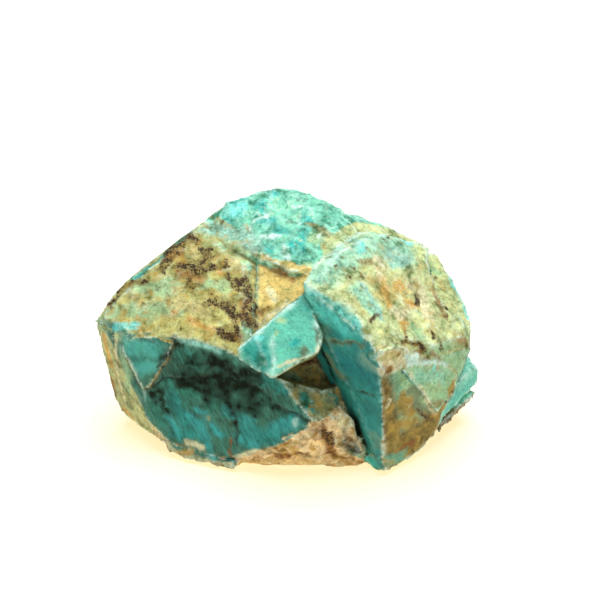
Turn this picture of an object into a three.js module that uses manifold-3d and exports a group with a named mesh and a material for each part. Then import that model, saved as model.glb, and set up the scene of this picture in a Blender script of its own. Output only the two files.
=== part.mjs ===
// A hand-sized specimen of rough amazonite, the blue-green variety of microcline feldspar.
// Several blocky crystals have grown into one mass: a main crystal whose broad cleavage face looks
// forward and to the left, a taller crystal on the right with a long blade-shaped side face, a stub
// of a third crystal wedged between them, and a small block in the hollow under it. A granular dome
// closes the top at the back, and pale feldspar matrix holds the crystals together along the foot.
//
// Units are millimetres and +Z is up. X runs along the specimen's length and -Y looks at its front.
// The origin is the bottom centre of the bounding box, and the specimen rests on the flat cleavage
// face at z = 0. Everything is grown together, so it is a single solid.

import * as THREE from 'three';
import { ConvexGeometry } from 'three/addons/geometries/ConvexGeometry.js';
import { ImprovedNoise } from 'three/addons/math/ImprovedNoise.js';
import { TessellateModifier } from 'three/addons/modifiers/TessellateModifier.js';
import { mergeVertices } from 'three/addons/utils/BufferGeometryUtils.js';
import Module from 'manifold-3d';

// Driving dimensions
const GRAIN = 1.9;             // longest edge of the facets on a weathered block
const RELIEF = 0.55;           // how far its lumps and pits reach, in or out
const LUMP = 4.2;              // distance from one lump to the next
const UPPER_RISE = 0.6;        // how far the weathered skin of the upper face stands out of it
const CAP_RISE = 1.4;          // and that of the cap, which is fuller
const SKIN_RIM = 0.4;          // how deep the rim of a weathered skin sinks into its face
const SKIN_ROOT = 1.5;         // how deep the whole skin reaches
const RIM_SHARE = 0.98;        // how far out its rim, its full shoulder and its root lie, of its outline
const SHOULDER_SHARE = 0.86;
const ROOT_SHARE = 0.7;
const LEDGE = 0.8;             // usual height of a cleavage step
const ROOT = 3;                // how deep a ledge reaches into the face that it stands on
const CLEAR = 6;               // how far out of a face a cut starts
const FAR = 100;               // well outside the specimen
const MOST_SPLITS = 24;        // rounds in which a block's faces may be divided

// A flat face. `turn` is how many degrees it is turned to the right of straight ahead, `tilt` how many
// it looks up, as a contact goniometer gives them, and `distance` is how far it lies from the origin.
function face(turn, tilt, distance) {
  const across = THREE.MathUtils.degToRad(turn);
  const up = THREE.MathUtils.degToRad(tilt);
  const facing = new THREE.Vector3(
    Math.sin(across) * Math.cos(up), -Math.cos(across) * Math.cos(up), Math.sin(up),
  );
  return { facing, distance };
}

// The faces that show. The two crystals share their cleavages, so several of them are parallel.
const UPPER = face(-22, 51, 23.4);        // broad stained face at the top left
const UPPER_MIDDLE = face(-22, 54, 24.3); // its middle, which is slightly full
const FRONT = face(-21, 7.5, 17.2);       // main cleavage face
const LEFT = face(-52, -10, 21.4);        // narrow face at the left end
const CAP = face(55, 51, 30);             // rough face that caps the right crystal
const BLADE = face(-42, -6, 2.3);         // long side face of the right crystal
const BLADE_RIM = face(-42, -6, 1.5);     // its worn rim, a little further back
const FLANK = face(40, 0, 22);            // olive face under the cap
const FLANK_BLOCK = face(40, 0, 23.2);    // pale block that stands out of it
const RIGHT_LEDGE = face(54, 0, 24);
const STUB_TOP = face(0, 42, 27.8);
const STUB_END = face(-18, 30, 26.3);
const BLOCK_TOP = face(55, 51, 17.5);     // small block in the hollow
const DOME_FRONT = face(0, 62, 27.3);
const SKYLINE = face(0, 0, -10);          // upright plane in which the outline of the top lies
const MOUTH = face(0, 0, 15);             // upright plane across the mouth of the hollow

// Cleavage faces that close the specimen at the back
const REAR_LEFT = face(-153, 11, 21.4);
const REAR = face(178, 11, 20);
const REAR_RIGHT = face(142, 10, 24);
const REAR_FOOT = face(180, -44, 8.4);
const LEFT_BACK = face(-127, -6, 22);

const wasm = await Module();
wasm.setup();

// A closed THREE geometry as a solid that can be joined and cut.
function solidOf(geometry) {
  const plain = geometry.clone();
  plain.deleteAttribute('normal');
  plain.deleteAttribute('uv');
  const merged = mergeVertices(plain, 1e-4);
  return new wasm.Manifold(new wasm.Mesh({
    numProp: 3,
    vertProperties: new Float32Array(merged.attributes.position.array),
    triVerts: new Uint32Array(merged.index.array),
  }));
}

// The surface of a solid as a THREE geometry.
function geometryOf(solid) {
  const mesh = solid.getMesh();
  const geometry = new THREE.BufferGeometry();
  geometry.setAttribute('position', new THREE.BufferAttribute(new Float32Array(mesh.vertProperties), 3));
  geometry.setIndex(new THREE.BufferAttribute(new Uint32Array(mesh.triVerts), 1));
  return geometry;
}

// A crystal is the convex body over its corners.
function crystal(corners) {
  return solidOf(new ConvexGeometry(corners.map((corner) => new THREE.Vector3(...corner))));
}

// Corners on a face. Each is given as [x, z], and y is where the face lies there.
function on({ facing, distance }, outline) {
  return outline.map(([x, z]) => [x, (distance - facing.x * x - facing.z * z) / facing.y, z]);
}

// A slab over an outline on a face: it reaches `above` out of the face and `below` into it. Added it
// is a ledge, and taken away it is a step down.
function slab(where, outline, above, below = ROOT) {
  const corners = on(where, outline).flatMap((corner) => {
    const point = new THREE.Vector3(...corner);
    return [above, -below].map((height) => point.clone().addScaledVector(where.facing, height));
  });
  return solidOf(new ConvexGeometry(corners));
}

// Everything outside a face. Taking it away leaves the flat cleavage face.
function beyond({ facing, distance }) {
  const block = new THREE.BoxGeometry(FAR, FAR, FAR).translate(0, 0, FAR / 2 + distance);
  block.applyQuaternion(new THREE.Quaternion().setFromUnitVectors(new THREE.Vector3(0, 0, 1), facing));
  return solidOf(block);
}

// A weathered block is lumpy: its faces are divided finely and every point of them is moved by
// smooth noise that depends only on where the point is.
function weathered(block, relief = RELIEF, grain = GRAIN, lump = LUMP) {
  const noise = new ImprovedNoise();
  const fine = new TessellateModifier(grain, MOST_SPLITS).modify(geometryOf(block).toNonIndexed());
  const place = fine.attributes.position;
  const point = new THREE.Vector3();
  const wander = (x, y, z) => noise.noise(x, y, z) + 0.5 * noise.noise(2.1 * x, 2.1 * y, 2.1 * z);
  for (let i = 0; i < place.count; i += 1) {
    point.fromBufferAttribute(place, i).divideScalar(lump);
    const { x, y, z } = point;
    const shift = new THREE.Vector3(
      wander(x + 7.3, y, z), wander(x, y + 13.7, z), wander(x, y, z + 29.1),
    ).multiplyScalar(relief);
    place.setXYZ(i, place.getX(i) + shift.x, place.getY(i) + shift.y, place.getZ(i) + shift.z);
  }
  return solidOf(fine);
}

// The rough skin of a face: a very low lumpy mound over its corners that thins out towards its rim.
// `rise` is how far its middle stands out of the face.
function skin(where, outline, rise) {
  const points = on(where, outline).map((corner) => new THREE.Vector3(...corner));
  const middle = new THREE.Vector3();
  points.forEach((point) => middle.addScaledVector(point, 1 / points.length));
  const ring = (share, height) => points.map((point) => (
    middle.clone().lerp(point, share).addScaledVector(where.facing, height).toArray()
  ));
  const mound = crystal([
    ...ring(SHOULDER_SHARE, rise), ...ring(RIM_SHARE, -SKIN_RIM), ...ring(ROOT_SHARE, -SKIN_ROOT),
  ]);
  return weathered(mound, RELIEF, 1.2 * GRAIN);
}

// Main crystal: the broad front cleavage face, the sloping stained face above it, and a low back
const upperOutline = [
  // up the left outline to the dome, then down the step on the right
  [-30.3, 19.5], [-28, 22], [-25, 24.5], [-20.5, 27.5], [-17, 29.5], [-13.5, 32], [-5, 28.5], [-5, 21.5],
  // lower edge, from right to left
  [-7.5, 20], [-15, 20], [-20, 19.5], [-25, 18.5],
];
const frontOutline = [
  // top edge, from left to right, and down the right end
  [-26, 17], [-25, 18], [-20, 20], [-15, 20.5], [-10, 20], [-5, 17.5], [-1, 17], [0.5, 14.5], [3, 10.5],
  // ragged foot, from right to left, and up the left end
  [0, 7.5], [-3.5, 5], [-7.5, 3.5], [-10.5, 2], [-17, 1], [-19.5, 3.5], [-22, 6], [-23, 10.5],
];
const leftOutline = [
  [-30.3, 19.5], [-29.5, 15], [-28.5, 11.5], [-28.5, 8], [-28, 5],
  // lower edge, clear of the ground
  [-27, 2.5], [-24, 2.5],
  // where its inner strip begins
  [-27.5, 17], [-27, 12], [-26.5, 9], [-26, 6],
];
const mainCrystal = crystal([
  ...on(UPPER, upperOutline), ...on(FRONT, frontOutline), ...on(LEFT, leftOutline),
  // under the stub and the dome
  [2.5, -1, 27], [6, -4, 24.5], [7, -9, 17.5],
  // back
  [-25, 6, 19], [-25.5, 5, 9], [-19, 14.5, 24], [-9, 20, 27.5], [6, 20.5, 27.5],
  [17, 16.5, 26.5], [24.5, 11.5, 20], [26, 9.5, 9], [19, 16, 5], [4, 19.5, 3],
  [-11, 17.5, 2.5], [-21, 11, 3.5],
  // flat face that it rests on
  [-14, -9.5, 0], [-8, -12.5, 0], [2, -12.5, 0], [12, -10, 0], [19, -4, 0],
  [18, 5, 0], [12, 11, 0], [-2, 13, 0], [-12, 9, 0], [-17, 0, 0],
]);

// Ochre slope that carries the upper face on to the foot of the dome and runs in behind the stub
const ochreSlope = slab(UPPER, [
  [-5, 29], [-3, 28.5], [-1, 27.5], [1.5, 27.5], [3.5, 28], [2.5, 24], [0.5, 22.5], [-5, 21.5],
], 0.5 * LEDGE);

// Cleavage plate that is left standing on the left end of the front face
const frontPlate = slab(FRONT, [
  [-26, 17], [-25, 18.5], [-23, 19.5], [-20, 20], [-17.5, 19.5], [-18.5, 16.5], [-19.5, 15],
  [-21.5, 11.5], [-22.5, 11],
], 0.5 * LEDGE);

// Small fresh facet that stands proud on the left end of the upper face's rim
const cornerFacet = slab(UPPER, [
  [-27.5, 18], [-25, 20], [-22.5, 20], [-22.5, 19], [-25, 17.5],
], 0.8 * LEDGE);

// Dark hollow under the stub, between the main crystal and the blade. It slopes down as it goes in.
const HOLLOW_SLOPE = face(0, 28, 0).facing;
const HOLLOW_DEPTH = 7;
const mouth = on(MOUTH, [[-2, 17], [1, 20], [4, 22], [6.5, 24], [8, 15.5], [5, 14.5], [2.5, 15.5]]);
const hollow = crystal(mouth.flatMap((corner) => [CLEAR, -HOLLOW_DEPTH].map((way) => (
  new THREE.Vector3(...corner).addScaledVector(HOLLOW_SLOPE, way).toArray()
))));

// Right crystal: a rough sloping cap, the blade-shaped side face, and an olive flank under the cap
const ridge = [
  [2, 31.5], [4, 32.5], [6.5, 32.5], [11.5, 32.5], [13.5, 31.5], [15, 31], [17, 30], [20, 28],
];
const rightOutline = [
  [23.5, 26.5], [25, 24.5], [26.5, 22.5], [27.5, 21], [28, 19.5], [28, 17],
];
const bladeRim = [[4, 31.5], [5.5, 31], [7.5, 29.5], [9, 28.5], [10.5, 27], [12, 25]];
const rightCrystal = crystal([
  ...on(CAP, ridge), ...on(CAP, rightOutline), ...on(BLADE_RIM, bladeRim),
  // right edge of the blade, and where the blade runs back into the mass on the left
  ...on(BLADE, [
    [12.5, 23.5], [13, 21.5], [13.5, 18.5], [13.5, 16], [3, 27.5], [3, 20], [6.5, 17], [7.5, 14],
  ]),
  ...on(BLADE_RIM, [[9.5, 7], [11, 3]]),
  [12, -12, 0],
  // lower edge of the cap, and the flank down to the foot
  ...on(CAP, [[15.5, 22], [18.5, 20], [21.5, 18.5]]),
  ...on(FLANK, [[13.5, 19], [14.5, 1], [18, 1], [20, 1.5], [22.5, 3], [23, 6.5], [25.5, 14]]),
  ...on(RIGHT_LEDGE, [[26.5, 10]]),
  // hidden side and back
  [28, 4, 10], [24, 9, 22], [25, 6, 5], [12, 8, 20], [6, 4, 22],
]);

// Lower terrace on the right side of the cap, and the notch that is broken out of its top edge
const capTerrace = slab(CAP, [
  [21, 28], [21, 26.5], [21.5, 25], [22.5, 23], [23.5, 21.5], [26, 20], [36, 14], [33, 22], [24, 30],
], CLEAR, 0.3 * LEDGE);
const capNotch = slab(CAP, [
  [16, 30.5], [18, 29], [19.5, 28.5], [21, 28], [25, 28], [17, 33],
], CLEAR, LEDGE);

const capSkin = skin(CAP, [
  ...ridge, ...rightOutline, [21.5, 18.5], [15, 22], [12.5, 23], [8, 28], [5, 30.5],
], CAP_RISE);

// Pale green block that stands proud of the olive flank
const flankBlock = slab(FLANK_BLOCK, [
  [17, 18.5], [18, 19.5], [20.5, 18.5], [22, 18], [23.5, 16.5], [25, 15], [26, 13.5], [26, 11.5],
  [25.5, 10.5], [24, 9], [23, 8], [21, 11.5], [18.5, 16],
], 0);

// Crumbly corner where the cap, the blade and the flank meet
const crumblyCorner = weathered(slab(FLANK, [
  [12.5, 22], [13.5, 23], [15.5, 23], [17, 22], [18, 20.5], [19, 19], [18, 18], [17, 17.5],
  [15, 18.5], [13.5, 19.5],
], 0.8 * LEDGE, 0.5 * ROOT), 0.6 * RELIEF, 0.6 * GRAIN, 0.4 * LUMP);

// Teal tip of the flank, right at the foot
const footTip = crystal([
  ...on(FLANK, [[14, 4], [15, 5], [16.5, 3.5], [18, 3], [17.5, 1], [14.5, 1]]),
  ...on(BLADE, [[11, 1.5], [12.5, 3], [13, 0.5]]),
  [17, -11, 0], [12, -11, 0],
]);

// Stub of a third crystal, wedged between the other two and ending in a small bevelled face
const stubCrystal = crystal([
  ...on(STUB_TOP, [[2.5, 29.5], [-0.5, 27.5], [-5, 24.5], [-1.5, 21.5], [1, 21.5], [4.5, 22.5], [5, 23.5]]),
  ...on(STUB_END, [[-7.5, 22.5], [-7.5, 21], [-6.5, 20.5], [-5, 20], [-3, 19.5]]),
  // the nose, and the hidden end
  [-2.5, -19.8, 19.5], [-5, -9, 18], [4, -9, 17], [5, -8, 24], [1, -6, 24],
]);

// Small block that half fills the hollow
const hollowBlock = slab(BLOCK_TOP, [
  [1, 14.5], [3.5, 14], [6, 12.5], [8.5, 10.5], [5, 11], [3.5, 11.5], [1, 14],
], 0, 2 * ROOT);

// Teal ledge low on the right, with a thin brown sliver under it
const ledgeRoot = [[20, -4, 4], [22, 5, 9], [26, 5, 5], [28, 3, 11]];
const rightLedge = crystal([
  ...on(RIGHT_LEDGE, [[30.3, 9], [30.3, 6.5], [25.5, 5.5], [24, 5], [24, 7.5], [26.5, 9.5], [29, 10.5]]),
  ...ledgeRoot,
]);
const sliver = crystal([
  ...on(RIGHT_LEDGE, [[30, 5], [29, 4], [26.5, 3.5], [23.5, 3], [24, 4.5]]),
  [20, -4, 3.5], [22, 4, 6], [27, 4.5, 4], [20, 0, 2.5],
]);

// Pale crumbly matrix along the foot
const matrix = weathered(crystal([
  ...on(FRONT, [[-8.5, 2.5], [-3.5, 5], [0, 7.5], [3, 10]]),
  ...on(MOUTH, [[9, 10.5], [10.5, 4.5]]), ...on(BLADE_RIM, [[12.5, 1]]),
  [-8, -13, 0.5], [-5, -13, 0], [0, -13.5, 0], [5, -13.5, 0], [9.5, -13.5, 0],
  [-6, -8, -1], [8, -8, -1], [2, -8, 9],
]));

// Granular dome over the top, and the lower saddle that carries it to the right crystal
const dome = weathered(crystal([
  ...on(SKYLINE, [
    [-13, 31.5], [-11.5, 33], [-10, 34], [-6.5, 35.5], [-4.5, 36], [-3, 36.5], [-0.5, 36.5], [2.5, 35.5],
    [5, 35], [7, 34], [8, 33],
  ]),
  // its front edge runs out on the stained face and the ochre slope
  ...on(UPPER, [[-12, 30.5], [-10, 29.5], [-5, 29], [-3, 28.5], [-1, 27.5], [1.5, 27.5], [3.5, 28]]),
  ...on(DOME_FRONT, [[-3.5, 30.5], [-1.5, 29.5], [1, 29], [3.5, 29.5], [6, 30.5], [8.5, 31.5]]),
  [11, 4, 31],
  // back
  [-14, 12.5, 27.5], [-9, 17.5, 26], [2, 18, 27], [10, 16.5, 26.5], [-10, 15, 21], [8, 15.5, 21],
]), 0.8 * RELIEF);
const saddle = weathered(crystal([
  ...on(SKYLINE, [[8, 32.5], [10, 32], [12, 31], [14.5, 30], [17, 29], [19.5, 28], [21.5, 27]]),
  [9, 2, 30.5], [14, 5.5, 30], [20, 5.5, 27],
  [8, 16.5, 27.5], [14, 15.5, 26], [19.5, 12.5, 24], [23.5, 9.5, 22.5],
  [9, 14, 20], [20, 10, 18], [14, 6, 22],
]), 0.8 * RELIEF);

const upperSkin = skin(UPPER_MIDDLE, upperOutline, UPPER_RISE);

// Back: cleavage steps that run slantwise down it and end where the main crystal does
const rearLedges = [
  slab(REAR_LEFT, [[-30, 0], [-19, 0], [-13.5, 16], [-10, 30], [-30, 30]], LEDGE),
  slab(REAR_LEFT, [[-30, 9], [-22, 8], [-17.5, 19], [-15, 30], [-30, 30]], 2 * LEDGE),
  slab(REAR, [[-1.5, 0], [2.5, 11], [1.5, 20], [4.5, 30], [30, 30], [30, 0]], 1.5 * LEDGE),
  slab(REAR, [[6, 14], [6.5, 22], [9, 30], [30, 30], [30, 12]], 2.6 * LEDGE),
  slab(REAR_RIGHT, [[10, 0], [12, 17.5], [19, 16], [30, 13], [30, 0]], LEDGE),
  slab(REAR_RIGHT, [[17.5, 0], [19.5, 11.5], [30, 9], [30, 0]], 2 * LEDGE),
].map((ledge) => ledge.intersect(mainCrystal));

// Lumps of pale matrix along the foot: a fringe under the front face, and a band at the back
const frontFringe = weathered(slab(FRONT, [
  [-20, 3], [-18.5, 1], [-14, 0.5], [-8.5, 0.5], [-8, 2], [-12, 2],
], 0.3 * LEDGE), 0.7 * RELIEF, 0.8 * GRAIN, 0.6 * LUMP);
const rearMatrix = weathered(crystal([
  [-17, 12.5, 9], [-5, 17, 11], [6, 18, 10], [15, 15.5, 8.5], [19.5, 12, 5.5],
  [12, 13, 1], [0, 14.5, 0.5], [-12, 12, 1], [-18.5, 9, 3.5],
  [-8, 6, 6], [10, 6, 5],
]), 1.3 * RELIEF);

// The ground trims whatever would reach below the resting face
const ground = solidOf(new THREE.BoxGeometry(2 * FAR, 2 * FAR, FAR).translate(0, 0, -FAR / 2));

const steppedCrystal = rearLedges.reduce(
  (mass, ledge) => mass.add(ledge),
  [REAR_LEFT, REAR, REAR_RIGHT].reduce((mass, back) => mass.subtract(beyond(back)), mainCrystal),
);
const core = [beyond(REAR_FOOT), beyond(LEFT_BACK), hollow]
  .reduce((mass, block) => mass.subtract(block), steppedCrystal);
const cappedCrystal = rightCrystal.add(capSkin).subtract(capTerrace).subtract(capNotch);
const joined = [
  ochreSlope, upperSkin, frontPlate, cornerFacet, cappedCrystal, flankBlock, crumblyCorner, footTip,
  stubCrystal, hollowBlock, rightLedge, sliver, matrix, frontFringe, dome, saddle, rearMatrix,
].reduce((mass, block) => mass.add(block), core);

// Origin at the bottom centre of the finished mass
const geometry = geometryOf(joined.subtract(ground));
geometry.computeBoundingBox();
const middle = geometry.boundingBox.getCenter(new THREE.Vector3());
geometry.translate(-middle.x, -middle.y, -geometry.boundingBox.min.z);

const amazonite = new THREE.Mesh(geometry, new THREE.MeshStandardMaterial({
  color: 0x5fb5a0, roughness: 0.5, metalness: 0,
}));
amazonite.name = 'amazonite';

const specimen = new THREE.Group();
specimen.add(amazonite);

export default specimen;
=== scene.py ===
import math

import bpy
import numpy as np
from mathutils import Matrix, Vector, noise


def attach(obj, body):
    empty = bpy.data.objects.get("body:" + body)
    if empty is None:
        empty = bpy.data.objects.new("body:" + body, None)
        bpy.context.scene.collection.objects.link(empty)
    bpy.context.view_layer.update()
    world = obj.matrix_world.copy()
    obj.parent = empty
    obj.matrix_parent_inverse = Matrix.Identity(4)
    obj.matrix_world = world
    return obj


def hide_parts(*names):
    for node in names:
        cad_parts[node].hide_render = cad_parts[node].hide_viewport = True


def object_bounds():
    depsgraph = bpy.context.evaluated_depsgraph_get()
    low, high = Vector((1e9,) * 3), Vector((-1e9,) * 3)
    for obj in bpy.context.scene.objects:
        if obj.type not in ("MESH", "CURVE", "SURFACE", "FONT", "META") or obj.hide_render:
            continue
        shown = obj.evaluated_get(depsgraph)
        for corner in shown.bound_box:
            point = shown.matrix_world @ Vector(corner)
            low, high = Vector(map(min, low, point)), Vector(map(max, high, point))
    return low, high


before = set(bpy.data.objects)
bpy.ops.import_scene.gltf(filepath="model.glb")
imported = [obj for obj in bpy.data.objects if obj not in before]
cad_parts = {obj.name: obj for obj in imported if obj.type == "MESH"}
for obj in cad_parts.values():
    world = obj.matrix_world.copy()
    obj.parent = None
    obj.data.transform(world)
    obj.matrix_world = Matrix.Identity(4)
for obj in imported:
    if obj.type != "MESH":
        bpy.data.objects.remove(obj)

packed_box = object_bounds()

# ---------------------------------------------------------------------------
# The specimen: blocks of amazonite, the blue-green microcline feldspar, grown
# into one another, with some of the pale granite that they grew on in the gaps.
# It is one piece of rock, broken out with a hammer, so every side is fractured.

MM = 0.001
FINEST_CHIP = 0.325 * MM    # the grid that the surface is rebuilt on

bpy.ops.object.select_all(action="DESELECT")
stone = bpy.data.objects.new("feldspar_blocks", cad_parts["amazonite"].data.copy())
bpy.context.collection.objects.link(stone)
stone.select_set(True)
bpy.context.view_layer.objects.active = stone

bpy.ops.object.mode_set(mode="EDIT")
bpy.ops.mesh.select_all(action="SELECT")
bpy.ops.mesh.remove_doubles(threshold=0.001 * MM)
bpy.ops.object.mode_set(mode="OBJECT")


def finish_with(kind, **settings):
    """Adds a modifier to the stone, sets it and applies it."""
    modifier = stone.modifiers.new(kind.lower(), kind)
    for name, value in settings.items():
        setattr(modifier, name, value)
    bpy.ops.object.modifier_apply(modifier=modifier.name)


GRID_DEPTH = 8
length = max(packed_box[1] - packed_box[0])
finish_with("REMESH", mode="SHARP", octree_depth=GRID_DEPTH,
            scale=length / (FINEST_CHIP * 2 ** GRID_DEPTH), use_remove_disconnected=False,
            use_smooth_shade=True)
finish_with("SMOOTH", factor=0.3, iterations=1)


# ---------------------------------------------------------------------------
# Where each kind of surface lies. A fresh cleavage is flat and keeps its sharp
# edges; a weathered face is pitted; the granite left between the blocks is lumpy.
# A face is its turn and tilt in degrees and its distance in mm; places on it are (x, z) in mm.

UPPER = (-22, 51, 23.4)
FRONT = (-21, 7.5, 17.2)
LEFT_END = (-52, -10, 21.4)
CAP = (55, 51, 30)
BLADE = (-42, -6, 2.3)
FLANK = (40, 0, 22)
FLANK_BLOCK = (40, 0, 23.2)
RIGHT_LEDGE = (54, 0, 24)
STUB_TOP = (0, 42, 27.8)
BLOCK_TOP = (55, 51, 17.5)
DOME_FRONT = (0, 62, 27.3)
SKYLINE = (0, 0, -10)    # upright, behind the middle of the stone
GAP = (0, 0, 15)         # upright, across the gap between the blocks


def surface():
    """The stone's points in mm and its outward normals."""
    count = len(stone.data.vertices)
    places = np.empty(count * 3, np.float32)
    stone.data.vertices.foreach_get("co", places)
    outward = np.empty(count * 3, np.float32)
    stone.data.vertices.foreach_get("normal", outward)
    return places.reshape(-1, 3) / MM, outward.reshape(-1, 3)


def wander(size, seed):
    """A smooth random push for each point, about 1 at most, with lumps of a given size in mm."""
    away = Vector((seed, 0.0, 0.0))
    return np.array([noise.noise_vector(Vector(point) / size + away) for point in points])


# Lumps in mm: the ones that tear the edges of markings, and broad ones in which the colour changes
TEAR, FINE_TEAR, DRIFT = 2.4, 0.9, 9.0
noise.seed_set(1)    # so that the lumps are the same in every run
points, normals = surface()
ragged = 0.9 * wander(TEAR, seed=3.0) + 0.45 * wander(FINE_TEAR, seed=8.0)
drift = wander(DRIFT, seed=21.0)


def looking(turn, tilt):
    """The way a face looks, from how far it is turned to the right and tilted up in degrees."""
    across, up = math.radians(turn), math.radians(tilt)
    return np.array([math.sin(across) * math.cos(up), -math.cos(across) * math.cos(up), math.sin(up)])


def facing(face, least, full):
    """How nearly each point of the surface is turned the way a face looks, 0 to 1."""
    return np.clip((normals @ looking(face[0], face[1]) - least) / (full - least), 0, 1)


def lying_on(face, depth=1.0):
    """Points that lie on a face: within a depth in mm of its plane, and turned its way."""
    away = np.abs(points @ looking(face[0], face[1]) - face[2])
    return np.clip((depth - away) / (0.4 * depth), 0, 1) * facing(face, least=0.86, full=0.93)


def over(face, torn):
    """Where each point comes down on a face's plane, a little torn, and how far away from it it is."""
    normal = looking(face[0], face[1])
    height = points @ normal - face[2]
    return points - np.outer(height, normal) + torn * ragged, np.abs(height)


def inside(face, outline, reach=3.0, least=0.6, torn=0.3):
    """Points above or below an outline on a face, within reach of it and turned its way."""
    where, height = over(face, torn)
    along, up = where[:, 0], where[:, 2]
    within = np.zeros(len(points), bool)
    for (x1, z1), (x2, z2) in zip(outline, outline[1:] + outline[:1]):
        if z1 != z2:
            level = (z1 > up) != (z2 > up)
            within ^= level & (along < x1 + (up - z1) * (x2 - x1) / (z2 - z1))
    return within * (height < reach) * facing(face, least, full=least + 0.08)


def marks(face, *drawn, soft=0.6, torn=0.8, reach=3.5):
    """How strongly strokes on a face cover each point: (half-width in mm, places they run through)."""
    normal = looking(face[0], face[1])
    where, height = over(face, torn)
    cover = np.zeros(len(points))
    for width, route in drawn:
        stops = [np.array([x, (face[2] - normal[0] * x - normal[2] * z) / normal[1], z]) for x, z in route]
        if len(stops) == 1:
            stops = stops * 2
        for start, end in zip(stops, stops[1:]):
            run = end - start
            along = np.clip((where - start) @ run / max(run @ run, 1e-9), 0, 1)
            away = np.linalg.norm(where - start - along[:, None] * run, axis=1)
            cover = np.maximum(cover, np.clip((width - away) / (soft * width), 0, 1))
    return cover * np.clip(reach - height, 0, 1) * facing(face, least=0.3, full=0.5)


def sharpness(rounds):
    """How far each point stands proud of the surface around it, in mm: edges above 0, creases below."""
    edges = np.empty(len(stone.data.edges) * 2, np.int32)
    stone.data.edges.foreach_get("vertices", edges)
    one, other = edges.reshape(-1, 2).T
    count = np.bincount(edges, minlength=len(points))[:, None]
    settled = points.astype(float)
    for _ in range(rounds):
        total = np.stack(
            [
                np.bincount(one, settled[other, axis], len(points))
                + np.bincount(other, settled[one, axis], len(points))
                for axis in range(3)
            ],
            axis=1,
        )
        settled = 0.5 * settled + 0.5 * total / count
    return ((points - settled) * normals).sum(1)


edge = sharpness(rounds=16)
SEAT = 1.0    # mm above the flat that the stone rests on, in which its roughness fades out
seated = np.clip(points[:, 2] / SEAT, 0, 1)

BLADE_START = 2         # mm along, where the blade begins
FLANK_BLOCK_TOP = 21    # mm up
REAR_START = 6          # mm back, where the rear granite begins
front_cleavage = lying_on(FRONT, 1.4)
blade = lying_on(BLADE, 2.2) * (points[:, 0] > BLADE_START)
flank = lying_on(FLANK, 0.7)
flank_block = lying_on(FLANK_BLOCK, 0.7) * (points[:, 2] < FLANK_BLOCK_TOP)
left_end = lying_on(LEFT_END, 1.5)
stub = inside(
    STUB_TOP,
    [(2.5, 30), (-0.5, 28), (-5, 25), (-8, 23.5), (-8, 20), (-3, 18.5), (1, 21), (4.5, 22), (5.5, 23.5)],
    reach=2.5, least=0.75, torn=0)
upper_face = (1 - stub) * inside(
    UPPER,
    [(-31.5, 19), (-28, 23.5), (-25, 26), (-20, 29), (-13, 33.5), (-4.5, 30), (-4.5, 21), (-8, 18.5),
     (-15, 18.5), (-25, 17)],
    reach=3.5, least=0.8, torn=0)
ochre_slope = (1 - stub) * inside(
    UPPER, [(-4.5, 29.5), (-2, 29), (3.5, 29), (3.5, 24), (-1, 21), (-4.5, 21)], reach=2.2, least=0.8)
cap = (1 - blade) * inside(
    CAP,
    [(0.5, 32), (4, 34), (12, 34), (20, 30), (25, 28), (30, 20), (30, 14), (24, 15), (17, 19.5),
     (13.5, 21), (11, 23.5), (7, 27.5)],
    reach=3.5, least=0.5, torn=0)
dome = (1 - np.maximum.reduce([upper_face, ochre_slope, cap, stub])) * inside(
    SKYLINE,
    [(-15, 29), (-12, 35), (-4, 38), (8, 37), (26, 29), (25, 22), (14, 27), (3, 27), (-4, 27.5)],
    reach=14, least=-1)
side_strip = inside(
    RIGHT_LEDGE, [(23, 3), (31, 3), (31, 11), (28, 11), (23, 7.5)], reach=3.0, least=-1)
crumbly = marks(FLANK, (2.4, [(13.5, 21), (16, 20.5)]), (1.2, [(18, 19.5)]), soft=0.3)
in_gap = (1 - np.maximum.reduce([blade, stub, front_cleavage])) * inside(
    GAP, [(-3, 17.5), (1, 20.5), (5, 22.5), (7, 20), (9, 14), (8.5, 10), (3, 10.5), (1, 14)],
    reach=9, least=-1)
fresh = np.clip(front_cleavage + blade + stub + flank + flank_block + side_strip, 0, 1)
granite = (1 - fresh) * np.maximum(
    inside(GAP, [(-10, -1), (-8, 3), (-3, 6), (0, 8.5), (3, 11), (9, 11), (10.5, 9), (12, -1)],
           reach=6, least=-1),
    inside(FRONT, [(-22, 5), (-19.5, 3.5), (-17, 1.5), (-10, 2.5), (-8, -1), (-22, -1)],
           reach=3, least=-1))
rear_granite = (points[:, 1] > REAR_START) * inside(
    SKYLINE, [(-21, 0), (-18, 9), (-5, 12), (6, 11), (15, 9.5), (20, 5.5), (19, 0)],
    reach=14, least=-1, torn=1)

# ---------------------------------------------------------------------------
# The broken surface. Feldspar cleaves along two planes, so its faces are flat
# but stepped by a tenth of a millimetre, and their edges are chipped; the
# granite and the weathered skin have come away grain by grain.

LEVELS = 20    # steps in which a group's strength is kept


def keep_group(name, weights):
    """Keeps how strongly each point has something, as a vertex group that a modifier can follow."""
    group = stone.vertex_groups.new(name=name)
    for step in range(1, LEVELS + 1):
        level = step / LEVELS
        chosen = np.nonzero(np.abs(weights - level) <= 0.5 / LEVELS)[0]
        group.add(chosen.tolist(), level, "REPLACE")


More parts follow.
